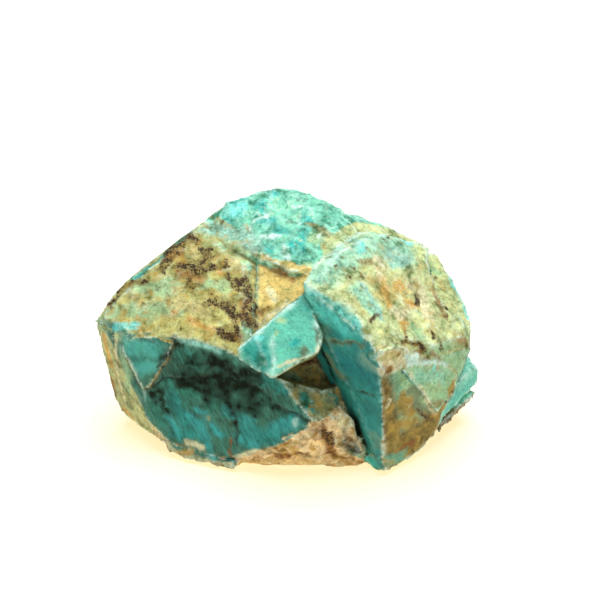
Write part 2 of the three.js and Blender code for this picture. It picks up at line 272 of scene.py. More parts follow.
weathered = np.clip(upper_face + cap + ochre_slope, 0, 1)
grainy = np.clip(granite + rear_granite + crumbly + 0.5 * dome + 0.2 * weathered, 0, 1) * (1 - fresh)
cracks = np.maximum.reduce([
    # the front face's notch, two fine cracks from the notch's foot, the groove at its right, a split
    marks(FRONT, (0.35, [(-16.5, 20), (-17.5, 18.5), (-18.5, 17), (-19.5, 15)]),
          (0.2, [(-19.5, 15), (-19.5, 13), (-21, 11.5)]),
          (0.2, [(-19.5, 13), (-16.5, 14), (-14, 14.5), (-11, 15.5)]),
          (0.45, [(-6, 15), (-4, 14.5), (-2.5, 13), (0, 12), (3.5, 11)]),
          (0.3, [(-9, 12.5), (-8.5, 9.5), (-8, 7)]), soft=0.9, torn=0.5),
    0.7 * marks(BLADE, (0.35, [(5.5, 22), (8, 22.5), (11, 23.5)]),
                (0.3, [(8.5, 15), (11, 14.5), (13, 15)]), soft=0.95),
    marks(CAP, (0.4, [(18.5, 23.5), (19, 24.5)]), soft=0.9),
    marks(FLANK, (0.3, [(14, 17), (14.3, 13)]), soft=0.9),
])
CHIPPED = 0.2     # mm that a point stands proud where its edge is chipped all the way
keep_group("everywhere", seated)
keep_group("grainy", grainy * seated)
keep_group("weathered", weathered * (1 - grainy) * seated)
keep_group("stepped", (0.3 + 0.7 * fresh) * seated)
keep_group("chipped", np.clip(edge / CHIPPED, 0, 1) * seated)
keep_group("cracked", cracks * seated)

# The cleavages run with the front face and its streaks, so steps and chips are blocks laid along them
STREAK_RUN = Vector((0.41, -0.33, -0.85))
bpy.ops.object.empty_add(rotation=STREAK_RUN.to_track_quat("Z", "Y").to_euler())
cleavage = bpy.context.object
bpy.context.view_layer.objects.active = stone


def break_up(group, height, block, middle=0.5, pattern="CLOUDS", **settings):
    """Displaces one vertex group, by so many mm in all, by a pattern of blocks with three sizes in mm."""
    cleavage.scale = [size * MM for size in block]
    bpy.context.view_layer.update()
    texture = bpy.data.textures.new(group, pattern)
    for name, value in settings.items():
        setattr(texture, name, value)
    finish_with("DISPLACE", texture=texture, vertex_group=group, texture_coords="OBJECT",
                texture_coords_object=cleavage, strength=height * MM, mid_level=middle)


break_up("everywhere", 0.55, (7, 7, 9), noise_scale=1, noise_depth=1)
break_up("weathered", 0.75, (1.8, 1.8, 2.6), noise_scale=1, noise_depth=2)
break_up("grainy", 0.8, (1.7, 1.7, 1.7), pattern="VORONOI", noise_scale=1)
break_up("grainy", 0.9, (1.3, 1.3, 1.3), noise_scale=1, noise_depth=2)
break_up("stepped", 0.16, (1.6, 1.6, 6), noise_scale=1, noise_depth=1)
break_up("stepped", 0.12, (1.1, 1.1, 4), noise_scale=1, noise_basis="CELL_NOISE")
break_up("chipped", 0.7, (2.6, 2.6, 2.6), middle=0.75, noise_scale=1, noise_depth=2)
break_up("chipped", 0.45, (1.0, 1.0, 1.4), middle=0.6, noise_scale=1, noise_basis="CELL_NOISE")
CRACK_DEPTH = 0.45 * MM
finish_with("DISPLACE", vertex_group="cracked", strength=-CRACK_DEPTH, mid_level=0.0)
bpy.data.objects.remove(cleavage)

# ---------------------------------------------------------------------------
# What colours it. Feldspar runs from deep teal to turquoise and bleaches to pale
# green and cream; water left iron in it, from gold to rust; mica and manganese
# make black-brown crumbs; where the front cleavage is clear it looks dark green.

def linear(code):
    """The linear colour of an sRGB hex value."""
    parts = [int(code[i:i + 2], 16) / 255 for i in (1, 3, 5)]
    return [p / 12.92 if p <= 0.04045 else ((p + 0.055) / 1.055) ** 2.4 for p in parts] + [1.0]


SKY = linear("#7CEBE4")
TURQUOISE = linear("#36BFB6")
SEAFOAM = linear("#9AD6C4")
ICE = linear("#D2F7EC")
TEAL = linear("#2B938C")
BLUE_TEAL = linear("#177C80")
SKY_TEAL = linear("#38A8A6")
SEA_GREEN = linear("#2F7F6A")
JADE = linear("#6FAE93")
LEAF = linear("#A6CC99")
SAGE = linear("#6F8466")
MOSS = linear("#8F9362")
PINE = linear("#3A4C39")
STRAW = linear("#C9C383")
CREAM = linear("#E6E2B6")
PEACH = linear("#E4C48A")
GOLD = linear("#D3AC5A")
GOLD_OLIVE = linear("#A48C40")
TAN = linear("#957338")
RUST = linear("#8E5C2A")
UMBER = linear("#5A4226")


def painted(ground, *coats):
    """Lays coats, each a tone or a value and its cover, over a ground."""
    result = np.ones((len(points), 1)) * np.atleast_1d(np.array(ground, float))
    for tone, cover in coats:
        cover = np.asarray(cover, float)[:, None]
        result = result * (1 - cover) + np.atleast_1d(np.array(tone, float)) * cover
    return result


def keep_mask(name, weights):
    """Keeps how strongly each point has something, as an attribute that the material reads."""
    layer = stone.data.attributes.new(name, "FLOAT", "POINT")
    layer.data.foreach_set("value", np.ascontiguousarray(weights, np.float32).ravel())


# The rear is teal with broad pale green and gold patches; every other face has its own ground tone
green_rear = np.clip(0.5 + 1.6 * drift[:, 0], 0, 1)
stained_rear = np.clip(0.1 + 1.8 * drift[:, 1], 0, 0.8)
tone = painted(
    TEAL,
    (LEAF, 0.7 * green_rear),
    (GOLD, 0.7 * stained_rear),
    (PEACH, rear_granite),
    (linear("#BAC68C"), left_end),
    (linear("#7AD2B8"), dome),
    (linear("#BFC076"), upper_face),
    (linear("#E4CC7C"), ochre_slope),
    (linear("#CADB9F"), cap),
    (linear("#3F7A66"), front_cleavage),
    (linear("#2B8E8A"), blade),
    (linear("#68CAB2"), stub),
    (linear("#8C7A38"), flank),
    (linear("#A2D4A4"), flank_block),
    (linear("#8ADCC6"), side_strip),
    (MOSS, in_gap),
    (linear("#F2D8A8"), granite),
    (CREAM, crumbly),
)

# The upper face: stained all over, with pale green patches where the stain has gone
tone = painted(
    tone,
    (SEAFOAM, marks(UPPER, (2.0, [(-12.5, 31.5), (-8, 31), (-5, 30)]))),
    (LEAF, 0.8 * marks(UPPER, (1.5, [(-12, 30), (-9, 29.5), (-6.5, 28.5)]))),
    (LEAF, marks(UPPER, (2.2, [(-22, 23.5), (-18, 24)]), (1.7, [(-13, 25), (-10, 25.5)]),
                 (1.6, [(-21, 21.5), (-16, 22)]), (1.5, [(-29.5, 19.5), (-26, 20.5)]),
                 (1.3, [(-24.5, 21), (-21, 20.5)]))),
    (STRAW, marks(UPPER, (1.0, [(-15, 29), (-14.5, 28)]), (1.2, [(-17, 24)]),
                  (1.6, [(-18, 22.5), (-12, 22.5)]), (1.2, [(-9, 28), (-7, 27.5)]))),
    (GOLD, marks(UPPER, (0.8, [(-17, 28)]), (0.8, [(-16.5, 27)]), (0.9, [(-10.5, 27)]),
                 (1.0, [(-14.5, 21), (-11, 20.5)]), (0.9, [(-17, 21.5)]))),
    (TAN, marks(UPPER, (1.2, [(-19.5, 27.5), (-17, 28)]), (1.1, [(-17, 25.5), (-13.5, 25.5)]),
                (1.0, [(-6.5, 24), (-6, 22.5)]), (0.9, [(-9, 20.5), (-7, 20.5)]))),
    (MOSS, marks(UPPER, (0.9, [(-24.5, 22.5), (-23.5, 22)]))),
    (TURQUOISE, marks(UPPER, (0.8, [(-24.5, 24.5), (-21.5, 26), (-20.5, 27)]),
                      (0.6, [(-20.5, 27), (-15, 31)]))),
    (SKY, marks(UPPER, (0.9, [(-26.5, 19), (-23, 19.5)]), soft=0.4, torn=0.3)),
    # the ochre slope, browner under the dome's lip, with cream streaks
    (TAN, marks(UPPER, (0.8, [(-2, 28), (-1, 27.5), (0.5, 27.5)]), (0.7, [(-4.5, 23.5), (-3, 24)]))),
    (CREAM, marks(UPPER, (0.6, [(-5, 22), (-2.5, 23.5), (0, 25)]), (0.7, [(-3, 26), (-2, 25)]), torn=0.4)),
)

# The left end: an ochre strip and, past a ridge, a pale green one
tone = painted(
    tone,
    (LEAF, marks(LEFT_END, (1.2, [(-26, 16), (-25, 12), (-25, 7.5)]))),
    (GOLD, marks(LEFT_END, (0.9, [(-29, 17.5), (-28.5, 14.5), (-28, 12)]),
                 (0.8, [(-26.5, 3.5), (-25, 3.5)]))),
    (STRAW, marks(LEFT_END, (0.9, [(-27, 11), (-27, 9)]))),
    (TAN, marks(LEFT_END, (0.8, [(-28, 9), (-28, 5.5)]), (0.6, [(-23.5, 3)]))),
    (CREAM, marks(LEFT_END, (0.5, [(-27, 18), (-27, 12), (-26.5, 9.5), (-26, 6.5)]), torn=0.4)),
    (UMBER, marks(LEFT_END, (0.8, [(-27.5, 4)]), (0.3, [(-26, 16)]), (0.3, [(-26, 13.5)]), torn=0.4)),
)

# The front cleavage: deep green in the middle and teal round it, brighter at both ends
tone = painted(
    tone,
    (linear("#52B4A8"), marks(FRONT, (2.4, [(-24.5, 17.5), (-20.5, 18)]),
                              (1.6, [(-23, 14.5), (-20.8, 15.2)]))),
    (SEA_GREEN, marks(FRONT, (1.8, [(-17, 17.5), (-14, 17)]), (1.6, [(-17.5, 12), (-14.5, 11.5)]),
                      (1.4, [(-12, 10), (-10, 11)]), (1.3, [(-20.5, 8), (-20, 5.5)]))),
    (TEAL, marks(FRONT, (1.4, [(-18, 4.5), (-15, 5)]), (1.8, [(-6.5, 7.5), (-3, 7)]),
                 (1.2, [(-4.5, 16.5), (-0.5, 15.5)]), (1.8, [(-18, 10), (-16, 7)]))),
    (SKY_TEAL, marks(FRONT, (1.1, [(-15, 8), (-13, 5), (-11.5, 2)]), (1.0, [(-14, 9.5), (-11, 6)]),
                     (2.0, [(-2, 8.5), (0.5, 10.5)]), (1.2, [(-8, 6), (-5, 5.5)]),
                     (1.0, [(-19, 7), (-17, 4)]), (1.2, [(-9.5, 10), (-6, 9)]))),
    (PINE, 0.8 * marks(FRONT, (1.6, [(-12, 17.5), (-8.5, 17), (-5.5, 16.5)]),
                       (0.5, [(-24.5, 18.8), (-20.5, 19.5)]), (1.3, [(-18.5, 14), (-16, 13.5)]),
                       (1.0, [(-14, 8.5), (-12.5, 7.5)]), (1.0, [(-9, 8), (-7.5, 5)]), soft=0.9,
                       torn=1.4)),
    (linear("#21402D"), 0.95 * marks(FRONT, (3.6, [(-16.5, 16), (-11, 15), (-6, 14)]),
                                     (3.0, [(-13, 12.5), (-8.5, 11.5)]), (1.6, [(-19, 9.5), (-18.5, 8)]),
                                     (1.2, [(-8.5, 10), (-8, 6)]), soft=1.0, torn=2.0)),
    (SEAFOAM, marks(FRONT, (0.7, [(-16, 20), (-12, 20), (-10.5, 19.5)]), torn=0.5)),
    (MOSS, marks(FRONT, (0.6, [(-12.5, 8)]))),
    # pale along the left edge; the pale marks at the right end are painted glints
    (ICE, 0.6 * marks(FRONT, (0.4, [(-26, 17), (-24.5, 15), (-23.5, 12.5), (-22.5, 11), (-22, 8)]),
                      (0.6, [(1, 11), (1, 10)]), torn=0.5)),
    (RUST, marks(FRONT, (0.4, [(-9, 5.5), (-9, 2.5)]), torn=0.5)),
    (CREAM, marks(FRONT, (0.6, [(-21.5, 4.5), (-19.5, 3), (-18, 1)]), (0.8, [(-15.5, 3.5), (-13.5, 3)]),
                  (0.5, [(-8.5, 2.5), (-5, 4.5)]), torn=0.5)),
    (CREAM, marks(FRONT, (0.9, [(-20.5, 3.5), (-19, 2), (-17, 1)]),
                  (0.8, [(-17, 0.8), (-13, 1.2), (-9, 1.2)]))),
    (TAN, marks(FRONT, (0.5, [(-18.5, 1.5), (-16.5, 1)]), (0.4, [(-12, 1), (-10, 1)]))),
    (GOLD, marks(FRONT, (0.9, [(-17, 1.5), (-15.5, 2)]), (0.4, [(-4, 4.5), (0, 7)]), torn=0.5)),
)

# The stub: pale along its edges, greener on top
tone = painted(
    tone,
    (TURQUOISE, marks(STUB_TOP, (1.2, [(1, 23.5)]))),
    (LEAF, marks(STUB_TOP, (0.9, [(-1, 26)]), (0.6, [(-2, 24.5)]))),
    (linear("#34A89A"), marks(STUB_TOP, (2.2, [(-5, 23), (-4, 21.5)]), soft=0.3)),
    (SKY, marks(STUB_TOP, (0.8, [(-4.5, 24)]))),
    (SEA_GREEN, marks(STUB_TOP, (1.1, [(-4, 21.5)]))),
    (SAGE, marks(STUB_TOP, (0.5, [(4, 25.5), (4.5, 23.5)]), (0.6, [(1, 22), (3, 22.5)]))),
    (ICE, 0.8 * marks(STUB_TOP, (0.6, [(1, 28.5), (-2, 26.5), (-5, 24.5)]),
                      (0.6, [(-2.5, 24), (-2, 23), (-2, 21.5), (-2.5, 20.5)]),
                      (0.4, [(-7.5, 22), (-7.5, 21), (-6, 20.5), (-3, 19.5)]), soft=0.95, torn=0.8)),
    (CREAM, marks(STUB_TOP, (0.4, [(-1.5, 21), (0.5, 21.5), (4, 22), (5, 23.5)]), torn=0.4)),
)

# The blade: brightest at its top, with painted shade at its foot and down its left edge, and a pale rim
# that is a painted highlight
tone = painted(
    tone,
    (TURQUOISE, marks(BLADE, (2.6, [(4, 30), (7, 27.5), (9.5, 25.5)]), (1.2, [(11.5, 3), (13, 2)]))),
    (linear("#62DCD4"), 0.7 * marks(BLADE, (2.2, [(4, 30), (7, 27.5), (9, 26)]))),
    (BLUE_TEAL, marks(BLADE, (2.0, [(8.5, 20), (12.5, 17.5)]))),
    (TEAL, marks(BLADE, (1.3, [(8.5, 14), (11, 13.5)]))),
    (SAGE, marks(BLADE, (1.5, [(6.5, 18.5), (8.5, 16.5)]))),
    # dark green at a crack, and painted shade down the left edge, where the stub meets the blade, and at
    # the foot
    (PINE, marks(BLADE, (0.4, [(11.5, 14.5), (13, 15)]), (0.5, [(3, 27.5), (4, 23), (5, 21)]),
                 (0.9, [(10, 9), (11, 5)]))),
    (MOSS, 0.7 * marks(BLADE, (0.7, [(5.5, 22), (8, 22.5), (11, 23.5)]), soft=0.95, torn=1.0)),
    (SKY, marks(BLADE, (1.2, [(3, 31), (4, 30.5)]))),
    # the pale rim along the blade's ridge is a painted highlight
    (ICE, marks(BLADE, (0.5, [(7, 30.5), (9.5, 28.5), (11.5, 26.5), (12.5, 23.5)]), torn=0.4)),
)

# The cap: turquoise along the ridge, cream in the middle, rusty down its step and along its foot
tone = painted(
    tone,
    (linear("#86DCC8"), 0.7 * marks(CAP, (3.0, [(4, 31), (9, 31), (14, 30.5), (17, 28.5)]),
                                    (1.6, [(9, 28), (12, 25)]))),
    (SEAFOAM, marks(CAP, (1.2, [(6.5, 31.5)]), (1.6, [(14, 29), (16, 28.5)]),
                    (1.5, [(15, 28), (17.5, 27.5)]), (1.1, [(10, 28), (11.5, 26.5), (13, 24.5)]))),
    (STRAW, marks(CAP, (1.0, [(11.5, 28), (13, 27.5)]), (2.4, [(13.5, 26), (17, 25.5)]),
                  (1.2, [(24, 23.5)]), (1.1, [(20.5, 22), (21, 20.5)]))),
    (LEAF, marks(CAP, (1.4, [(18, 22), (19, 21)]), (1.3, [(21.5, 26.5), (23, 25)]),
                 (1.2, [(26, 20), (27, 18.5)]))),
    (GOLD, marks(CAP, (1.3, [(16, 26)]), (1.3, [(16.5, 23)]), (1.1, [(17.5, 24), (18.5, 23.5)]),
                 (1.0, [(13.5, 27.5), (14, 25)]))),
    (CREAM, marks(CAP, (1.8, [(15.5, 24), (17, 23.5)]), (1.6, [(18, 25.5), (19, 25)]),
                  (1.2, [(12.5, 29), (13, 28)]), (1.6, [(19.5, 24), (20, 22.5)]), torn=1.4)),
    (TAN, marks(CAP, (0.8, [(10.5, 30), (11.5, 29.5)]), (0.6, [(10, 29)]),
                (0.8, [(16.5, 22.5), (16.5, 21.5)]), (1.3, [(20.5, 25), (22, 23), (22.5, 21.5)]),
                (0.9, [(18.5, 20), (21.5, 18.5), (23.5, 17.5)]), soft=0.9, torn=1.6)),
    (RUST, 0.8 * marks(CAP, (1.2, [(25.5, 18.5), (27.5, 17.5)]),
                       (0.9, [(17, 21), (19, 19.8), (21.5, 18.6), (23, 18)]), soft=0.9, torn=1.6)),
    (SKY, marks(CAP, (1.0, [(9.5, 32), (10, 31)]), (1.1, [(16.5, 30), (18, 29)]),
                (0.9, [(25.5, 24), (27.5, 21), (28, 19.5)]))),
    # a painted highlight along the ridge, and pale down the edge of the step
    (ICE, 0.7 * marks(CAP, (0.8, [(2, 32), (6, 32.5), (10, 32.5), (12, 32.5)]),
                      (0.5, [(18, 29), (20, 28), (21, 26.5), (21, 25.5)]), soft=0.9)),
)

# The flank: brown and olive with a cream rim, its pale block, and the ledge and sliver behind
STAINED_FOOT = 4.8    # mm up to which the sliver is stained
tone = painted(
    tone,
    (GOLD_OLIVE, marks(FLANK, (1.6, [(16.5, 13.5), (18, 10)]), (1.4, [(15.5, 8.5), (18.5, 8)]))),
    (UMBER, 0.6 * marks(FLANK, (1.4, [(18, 14.5), (19, 11), (21.5, 7.5)]),
                        (0.5, [(14.5, 16.5), (14.5, 15.5)]), (0.5, [(15, 5.5)]))),
    (RUST, marks(FLANK, (0.9, [(17, 4), (19, 4)]))),
    (GOLD, marks(FLANK, (0.9, [(13.5, 7.5), (14, 5.5)]))),
    (JADE, marks(FLANK, (1.0, [(14.5, 3.5), (17.5, 3)]), (1.1, [(14.5, 2), (17.5, 2)]))),
    (CREAM, marks(FLANK, (0.4, [(14.5, 14), (14.5, 12.5)]),
                  (0.5, [(17.5, 17.5), (19, 14.5), (20.5, 11), (22.5, 7.5)]), torn=0.5)),
    (STRAW, crumbly * marks(FLANK, (1.2, [(13.5, 22.5), (15, 21.5)]))),
    (TAN, crumbly * marks(FLANK, (0.7, [(13.5, 20), (14.5, 19.5)]), (0.5, [(15.5, 21.5)]))),
    (ICE, crumbly * marks(FLANK, (0.9, [(17, 20.5), (18.5, 19.5)]), (0.5, [(16, 19)]))),
    (linear("#9ADEC0"), marks(FLANK_BLOCK, (2.0, [(19.5, 16.5), (23, 14)]))),
    (LEAF, marks(FLANK_BLOCK, (1.2, [(21, 13.5), (22.5, 12.5)]))),
    (SKY, marks(FLANK_BLOCK, (0.8, [(22, 16.7)]))),
    (MOSS, marks(FLANK_BLOCK, (1.0, [(22, 10.5), (23.5, 9.5)]))),
    (GOLD_OLIVE, marks(FLANK_BLOCK, (0.9, [(25.5, 12.5), (25, 9.5), (24.5, 8.5)]))),
    (ICE, marks(FLANK_BLOCK, (0.6, [(18, 19.3), (20.5, 18.5), (22, 17.7), (24, 16)]), torn=0.4)),
    (TURQUOISE, 0.5 * marks(RIGHT_LEDGE, (1.5, [(24.5, 6), (27, 7), (30, 8)]))),
    (CREAM, marks(RIGHT_LEDGE, (0.5, [(24, 5), (26, 4.5), (28.5, 4.5), (30.5, 5)]), torn=0.4)),
    (TAN, marks(RIGHT_LEDGE, (0.5, [(26.5, 4), (28, 4)]), torn=0.4)),
    (TAN, side_strip * (points[:, 2] < STAINED_FOOT)),
    (UMBER, marks(RIGHT_LEDGE, (0.4, [(23.5, 3.5), (25.5, 4)]), torn=0.3)),
)

# The gap between the blocks, and the granite below it
tone = painted(
    tone,
    (TEAL, in_gap * marks(BLOCK_TOP, (1.3, [(2, 14), (3.5, 12.5)]), (1.0, [(5.5, 12.5), (7.5, 11.5)]))),
    (MOSS, in_gap * marks(BLOCK_TOP, (0.8, [(4, 13.5), (5.5, 12.5)]))),
    (SAGE, in_gap * marks(BLOCK_TOP, (0.9, [(6, 12), (8, 11)]))),
    (GOLD, in_gap * marks(BLOCK_TOP, (0.3, [(5, 13)]))),
    (ICE, in_gap * marks(BLOCK_TOP, (0.3, [(3.5, 13)]))),
    (RUST, in_gap * marks(GAP, (0.6, [(-1.5, 17.5), (0, 18), (1, 19), (2.5, 20)]), reach=9)),
    (UMBER, in_gap * marks(GAP, (2.0, [(2.5, 17), (6.5, 16.5)]), (0.7, [(4, 20), (6, 19)]), reach=9)),
    (CREAM, granite * marks(GAP, (1.3, [(8, 10), (9.5, 8.5)]), (0.5, [(0, 6), (4, 9)]),
                            (0.8, [(-2.5, 4), (-0.5, 5)]), reach=6)),
    (RUST, granite * marks(GAP, (1.1, [(5, 9), (6, 6.5), (6.5, 3.5)]), (0.6, [(9.5, 6.5)]),
                           (0.7, [(-2.5, 3.5), (0, 3)]), (0.5, [(10, 1.5), (13, 0.5)]), reach=6)),
    (TAN, granite * marks(GAP, (0.8, [(7, 2.5), (9.5, 2)]), (0.8, [(1, 4), (3, 3)]), reach=6)),
    (PINE, granite * marks(GAP, (0.8, [(8, 6), (8.5, 6)]), reach=6)),
    (JADE, granite * marks(GAP, (0.9, [(8.5, 4.5), (9.5, 4)]), reach=6)),
)

# The dome: grainy, brightest where it turns over at the left, yellow-green along its lip
tone = painted(
    tone,
    (SKY, dome * marks(SKYLINE, (2.0, [(-12, 33.5), (-8, 34.5)]), (1.0, [(-11.5, 31.5), (-9.5, 32.5)]),
                       (1.0, [(-3, 36.5)]), reach=12)),
    (TURQUOISE, dome * np.maximum(
        marks(DOME_FRONT, (1.4, [(-4.5, 35)]), (1.3, [(-3, 33.5)]), (1.5, [(-1.5, 32.5)]),
              (1.2, [(-3, 31)]), (1.4, [(0.5, 31)]), (1.5, [(2.5, 33.5)]), (1.2, [(-2.5, 36)]), reach=5),
        marks(SKYLINE, (1.5, [(-4.5, 34)]), (1.5, [(2, 31.5)]), reach=12))),
    (LEAF, dome * marks(DOME_FRONT, (1.0, [(-5, 30.5), (-2, 29.7), (1, 29), (3, 29.5)]),
                        (1.4, [(4, 32), (8, 31.5)]), reach=5)),
    (MOSS, dome * marks(DOME_FRONT, (0.9, [(3, 33), (6, 32), (8.5, 31)]), reach=5)),
    (GOLD, 0.6 * dome * marks(DOME_FRONT, (0.5, [(-7, 33.5), (-6.5, 32.5)]), (0.5, [(-5, 34)]),
                              (0.5, [(2, 31.5)]), reach=5)),
    (ICE, dome * marks(DOME_FRONT, (0.6, [(-5.5, 33.5), (-3.5, 34)]), (0.6, [(-6, 33), (-6, 32)]),
                       (0.6, [(-4, 32), (-1.5, 32)]), (0.5, [(1, 34.5), (2, 34.5)]), (0.5, [(1.5, 33)]),
                       (0.5, [(4.5, 32)]), (0.6, [(-1, 31), (-0.5, 30)]), reach=5)),
    (TAN, marks(SKYLINE, (0.9, [(18.5, 27.5), (20.5, 27)]), reach=8)),
)
layer = stone.data.attributes.new("tone", "FLOAT_COLOR", "POINT")
layer.data.foreach_set("color", np.ascontiguousarray(tone, np.float32).ravel())

# Crumbs of mica and manganese, gathered in patches and thinly scattered elsewhere
soot = np.maximum.reduce([
    marks(UPPER, (1.0, [(-28, 21.5), (-26, 23), (-24.5, 23.5), (-22, 24.5)]), (0.7, [(-27.5, 21)]),
          (0.8, [(-19.5, 25.5)]), (1.3, [(-18.5, 28.5), (-17, 29)]), (1.3, [(-18.5, 28), (-19, 26.5)]),
          (1.0, [(-19.5, 26)]), (1.1, [(-16, 30), (-14, 29.5), (-12.5, 28.5)]),
          (1.6, [(-16.5, 26.5), (-14, 26.5), (-12, 27.5)]), (1.1, [(-16, 24.5), (-14.5, 24.5)]),
          (0.8, [(-11.5, 26)]), (1.0, [(-9.5, 27.5), (-8.5, 26.5), (-7, 26), (-6, 25.5), (-5.5, 23.5)]),
          (1.3, [(-11.5, 23.5), (-9, 23.5)]), (1.9, [(-8.5, 22.5), (-6, 22)]),
          (1.2, [(-9.5, 20.5), (-7.5, 21)]), (0.5, [(-22, 21.5)]), (0.5, [(-20.5, 22)]),
          (0.4, [(-21, 20)]), (0.5, [(-17, 21.5)]), (0.4, [(-16.5, 20.5)]), (0.5, [(-13.5, 22.5)]),
          (0.6, [(-8, 24)]), soft=0.95, torn=1.5),
    marks(CAP, (0.6, [(6.5, 31)]), (0.6, [(8.5, 29), (9, 29)]), (0.6, [(10.5, 28.5)]), (0.5, [(9, 30)]),
          (0.5, [(10.5, 31)]), (0.6, [(14, 30.5)]), (0.5, [(15.5, 30.5)]),
          (0.9, [(11.5, 24.5), (13, 24.5)]), (0.6, [(18.5, 23.5), (19, 24)]), (0.5, [(21.5, 26.5)]),
          (0.5, [(23, 24.5)]), (0.7, [(23, 22.5), (23.5, 22)]), (0.6, [(23, 21.5), (23, 21)]),
          (0.6, [(24, 20.5)]), (0.9, [(17, 21.5), (19.5, 20)]), (0.8, [(20.5, 20.5), (22, 19.5)]),
          (0.6, [(22.5, 19)]), soft=0.95, torn=1.4),
    marks(FLANK, (0.6, [(13.5, 13.5)]), (0.5, [(19, 10), (21, 7)])),
    marks(FLANK_BLOCK, (0.6, [(24, 9)]), (0.5, [(25.5, 11)])),
    in_gap * marks(GAP, (1.6, [(2.5, 17), (6.5, 16.5)]), reach=9),
    granite * marks(GAP, (0.9, [(5.5, 8.5), (6.5, 6)]), (0.7, [(9, 6.5)]), reach=6),
])
scattered = painted(0.06, (0.0, fresh), (0.14, upper_face), (0.14, cap), (0.05, dome), (0.22, granite),
                    (0.2, rear_granite))[:, 0]
keep_mask("soot", np.maximum(np.clip(2.6 * soot, 0, 1), scattered))

# Where the front face is clear and looks dark, and painted shade down the blade's left edge and at its
# foot
shade = np.maximum.reduce([
    marks(FRONT, (2.4, [(-14, 14.5), (-11, 14.5), (-8, 14), (-5.5, 14)]),
          (1.5, [(-11, 12.5), (-8.5, 12.5)]), (1.2, [(-15, 17), (-12.5, 17.5)]),
          (0.8, [(-22.5, 11.5), (-21, 12.5)]), (0.8, [(-19.5, 9)]),
          (0.7, [(-9, 12.5), (-8.5, 9.5), (-8, 7)]), (1.5, [(-12, 17.5), (-8.5, 17), (-5.5, 16.5)]),
          # the stroke along the notch at the plate's right edge is painted shadow
          (1.4, [(-5.5, 12), (-3, 12.5)]), (0.9, [(-16.5, 20), (-18, 17.5), (-19.5, 15)]),
          (2.0, [(-10, 15.5), (-7, 15.5)]), (1.2, [(-13, 12), (-12, 10.5)]),
          (2.2, [(-16.5, 14), (-13, 13)]), (1.6, [(-9, 11), (-5, 10.5)]),
          (1.0, [(-20.5, 11), (-19.5, 8.5)]), soft=0.98, torn=1.8),
    marks(BLADE, (0.9, [(3, 28), (4, 24), (5, 20.5), (7, 15)]), (1.6, [(10, 9), (11, 4.5)]), soft=0.9),
])
keep_mask("shade", shade)

# How far each kind of surface is mottled, rusty, streaked by lamellae and veined
keep_mask("mixed", painted(1.0, (1.2, dome), (1.0, cap), (0.75, ochre_slope), (0.45, fresh),
                           (1.2, granite)))
keep_mask("rusty", painted(0.4, (0.12, dome), (0.75, upper_face), (0.35, ochre_slope), (0.45, cap),
                           (1.0, granite), (0.7, rear_granite), (0.5, left_end), (0.5, crumbly),
                           (0.7, in_gap), (0.0, fresh), (0.8, flank), (0.25, flank_block)))
plate = inside(FRONT, [(-26, 17), (-25, 19), (-20, 20), (-17.5, 19.5), (-21.5, 11), (-23, 11)])
streaked = np.clip(front_cleavage + 0.6 * blade + 0.2 * stub, 0, 1)
keep_mask("streaky", streaked * (1 - 0.55 * plate))
keep_mask("veined", np.clip(dome + cap + 0.6 * upper_face + 0.7 * flank_block, 0, 1))

# Pale edges, partly bruised and partly a painted highlight, and creases darkened brown: the edges of the
# two big cleavages are paled less, and the gap, the granite and the flank's block are darkened less in
# their creases
EDGE_AND_CREASE_FULL = 0.22    # mm that a point stands proud, or lies deep, where this is full
creases_darkened_less = np.maximum.reduce([in_gap, granite, marks(FLANK, (2.5, [(14, 3), (17, 2)])), flank_block])
keep_mask("edge", np.clip(edge / EDGE_AND_CREASE_FULL, 0, 1) * (1 - 0.65 * np.maximum(front_cleavage, blade)))
keep_mask("crease", np.clip(-edge / EDGE_AND_CREASE_FULL, 0, 1) * (1 - 0.6 * creases_darkened_less))
keep_mask("crack", cracks)

# ---------------------------------------------------------------------------
# Amazonite as it breaks: a pearly, slightly clear feldspar, streaked by lamellae
# of white albite, dull where weather has etched it. Light enters it a little way.

feldspar = bpy.data.materials.new("cleaved and weathered amazonite")
feldspar.use_nodes = True
tree = feldspar.node_tree
tree.nodes.clear()


def add(kind, inputs=None, **settings):
    """Adds a node to the stone's material, with its settings and its values or links."""
    node = tree.nodes.new(kind)
    for name, value in settings.items():
        setattr(node, name, value)
    for name, value in (inputs or {}).items():
        if isinstance(value, bpy.types.NodeSocket):
            tree.links.new(value, node.inputs[name])
        else:
            node.inputs[name].default_value = value
    return node


place = add("ShaderNodeTexCoord").outputs["Object"]
painted_tone = add("ShaderNodeAttribute", attribute_name="tone").outputs["Color"]
mixed = add("ShaderNodeAttribute", attribute_name="mixed").outputs["Fac"]
streaky = add("ShaderNodeAttribute", attribute_name="streaky").outputs["Fac"]
rusty = add("ShaderNodeAttribute", attribute_name="rusty").outputs["Fac"]
veined = add("ShaderNodeAttribute", attribute_name="veined").outputs["Fac"]
sooty = add("ShaderNodeAttribute", attribute_name="soot").outputs["Fac"]
shaded = add("ShaderNodeAttribute", attribute_name="shade").outputs["Fac"]
proud = add("ShaderNodeAttribute", attribute_name="edge").outputs["Fac"]
sunk = add("ShaderNodeAttribute", attribute_name="crease").outputs["Fac"]
cracked = add("ShaderNodeAttribute", attribute_name="crack").outputs["Fac"]

